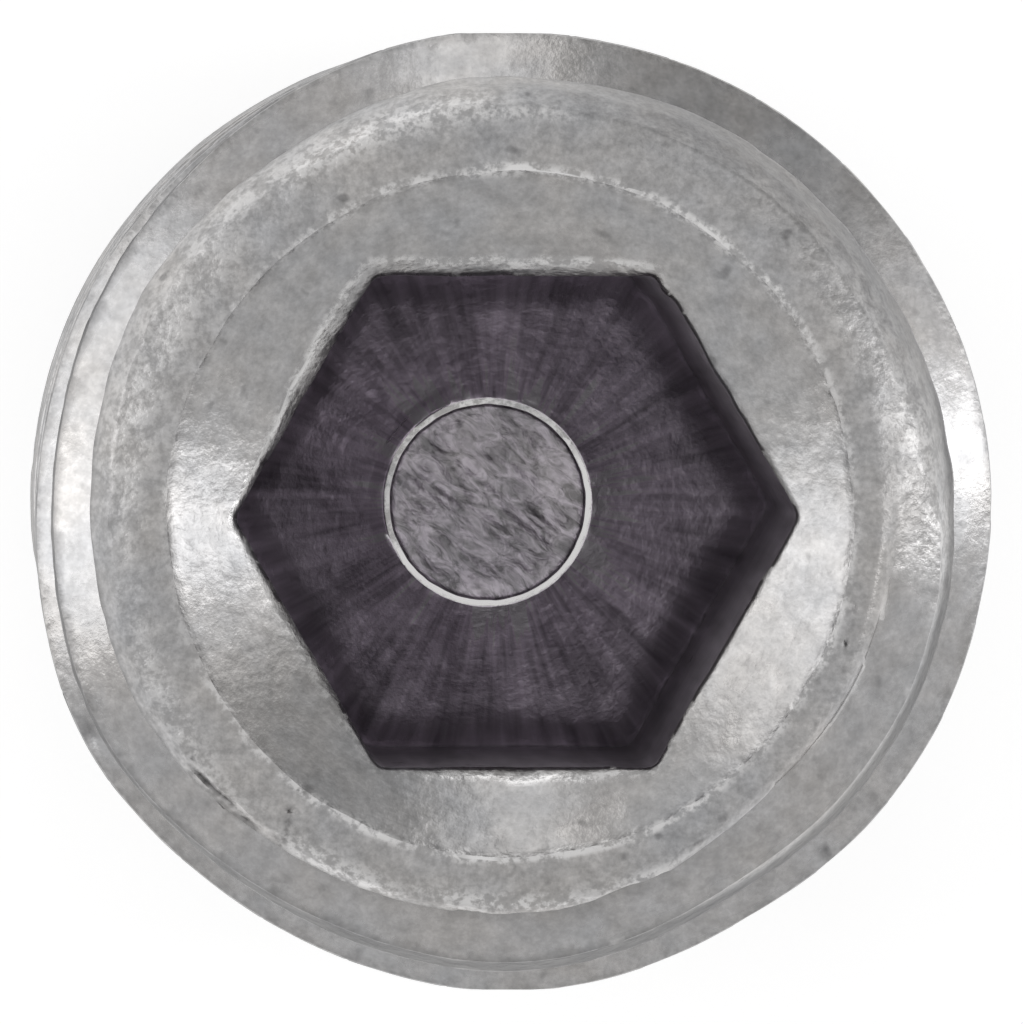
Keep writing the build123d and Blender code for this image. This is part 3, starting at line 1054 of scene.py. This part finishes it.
def add_lamp(scene, name, azimuth, width, radiance):
    """A soft box that faces the screw's end from that compass angle."""
    data = bpy.data.lights.new(name, "AREA")
    data.shape = "RECTANGLE"
    data.size = width
    data.size_y = BOX_HEIGHT
    data.energy = radiance * pi * width * BOX_HEIGHT
    lamp = bpy.data.objects.new(name, data)
    aim = Vector((0, 0, LENGTH * MM))
    lean, turn = radians(BOX_ELEVATION), radians(azimuth)
    away = Vector((cos(lean) * cos(turn), cos(lean) * sin(turn), sin(lean)))
    lamp.location = aim + away * BOX_DISTANCE
    lamp.rotation_euler = away.to_track_quat("Z", "Y").to_euler()
    scene.collection.objects.link(lamp)


def add_sky(scene, studio):
    """Even studio light, with one level low down and another overhead, dimmer towards the dim side."""
    world = bpy.data.worlds.new("studio")
    world.use_nodes = True
    scene.world = world
    bench = Bench(world.node_tree)
    ray = bench.node("ShaderNodeTexCoord").outputs["Generated"]
    height = bench.node("ShaderNodeSeparateXYZ", {0: ray}).outputs[2]
    level = bench.span(height, 0.45, 0.85, studio.sky, studio.overhead)
    dim = (cos(radians(56)), sin(radians(56)), 0.3)
    facing = bench.node("ShaderNodeVectorMath", {0: ray, 1: dim}, operation="DOT_PRODUCT").outputs["Value"]
    level = bench.math("MULTIPLY", level, bench.span(facing, 0.80, 1.02, 1.0, studio.dim_side))
    sky = bench.node("ShaderNodeBackground", {"Color": (1, 1, 1, 1), "Strength": level})
    bench.node("ShaderNodeOutputWorld", {"Surface": sky.outputs[0]})


def add_camera(scene, studio):
    data = bpy.data.cameras.new("camera")
    data.sensor_fit = "HORIZONTAL"
    data.sensor_width = 36.0
    data.lens = studio.camera_lens
    data.clip_start = 0.001
    data.clip_end = 10.0
    camera = bpy.data.objects.new("camera", data)
    face = Vector((0, 0, LENGTH * MM))
    camera.location = face + Vector((studio.camera_x, studio.camera_y, studio.camera_distance))
    aim = face + Vector((studio.aim_x, studio.aim_y, 0))
    away = (camera.location - aim).normalized()
    right = Vector((0, 1, 0)).cross(away).normalized()
    camera.rotation_euler = Matrix((right, away.cross(right), away)).transposed().to_euler()
    scene.collection.objects.link(camera)
    scene.camera = camera


class LOCKINGSCREW_OT_studio(bpy.types.Operator):
    """Add the floor, the soft boxes, the sky and the camera"""

    bl_idname = "locking_screw.add_studio"
    bl_label = "Add Studio"

    def execute(self, context):
        scene = context.scene
        studio = scene.locking_screw_studio
        scene.view_settings.view_transform = "Standard"
        add_camera(scene, studio)
        add_floor(scene, studio)
        add_sky(scene, studio)
        for name, azimuth, width, setting, share in SOFT_BOXES:
            add_lamp(scene, name, azimuth, width, getattr(studio, setting) * share)
        return {"FINISHED"}


class LOCKINGSCREW_PT_panel(bpy.types.Panel):
    """Sizes, finish and studio of the locking screw"""

    bl_label = "Locking Screw"
    bl_idname = "LOCKINGSCREW_PT_panel"
    bl_space_type = "VIEW_3D"
    bl_region_type = "UI"
    bl_category = "Locking Screw"

    def draw(self, context):
        for operator in OPERATORS:
            self.layout.operator(operator.bl_idname)
        for name, group in GROUPS.items():
            box = self.layout.box()
            settings = getattr(context.scene, name)
            box.label(text=group.__doc__)
            for field in group.__annotations__:
                box.prop(settings, field)


GROUPS = {
    "locking_screw_thread": ThreadSizes,
    "locking_screw_socket": SocketSizes,
    "locking_screw_steel": SteelFinish,
    "locking_screw_studio": StudioSettings,
}
OPERATORS = (LOCKINGSCREW_OT_studio, LOCKINGSCREW_OT_screw)


def register():
    for entry in (*GROUPS.values(), *OPERATORS, LOCKINGSCREW_PT_panel):
        bpy.utils.register_class(entry)
    for name, group in GROUPS.items():
        setattr(bpy.types.Scene, name, bpy.props.PointerProperty(type=group))


def unregister():
    for name in GROUPS:
        delattr(bpy.types.Scene, name)
    for entry in (LOCKINGSCREW_PT_panel, *reversed(OPERATORS), *reversed(list(GROUPS.values()))):
        bpy.utils.unregister_class(entry)


def main():
    register()
    bpy.ops.locking_screw.add_studio()
    bpy.ops.locking_screw.add_screw()


if __name__ == "__main__":
    main()
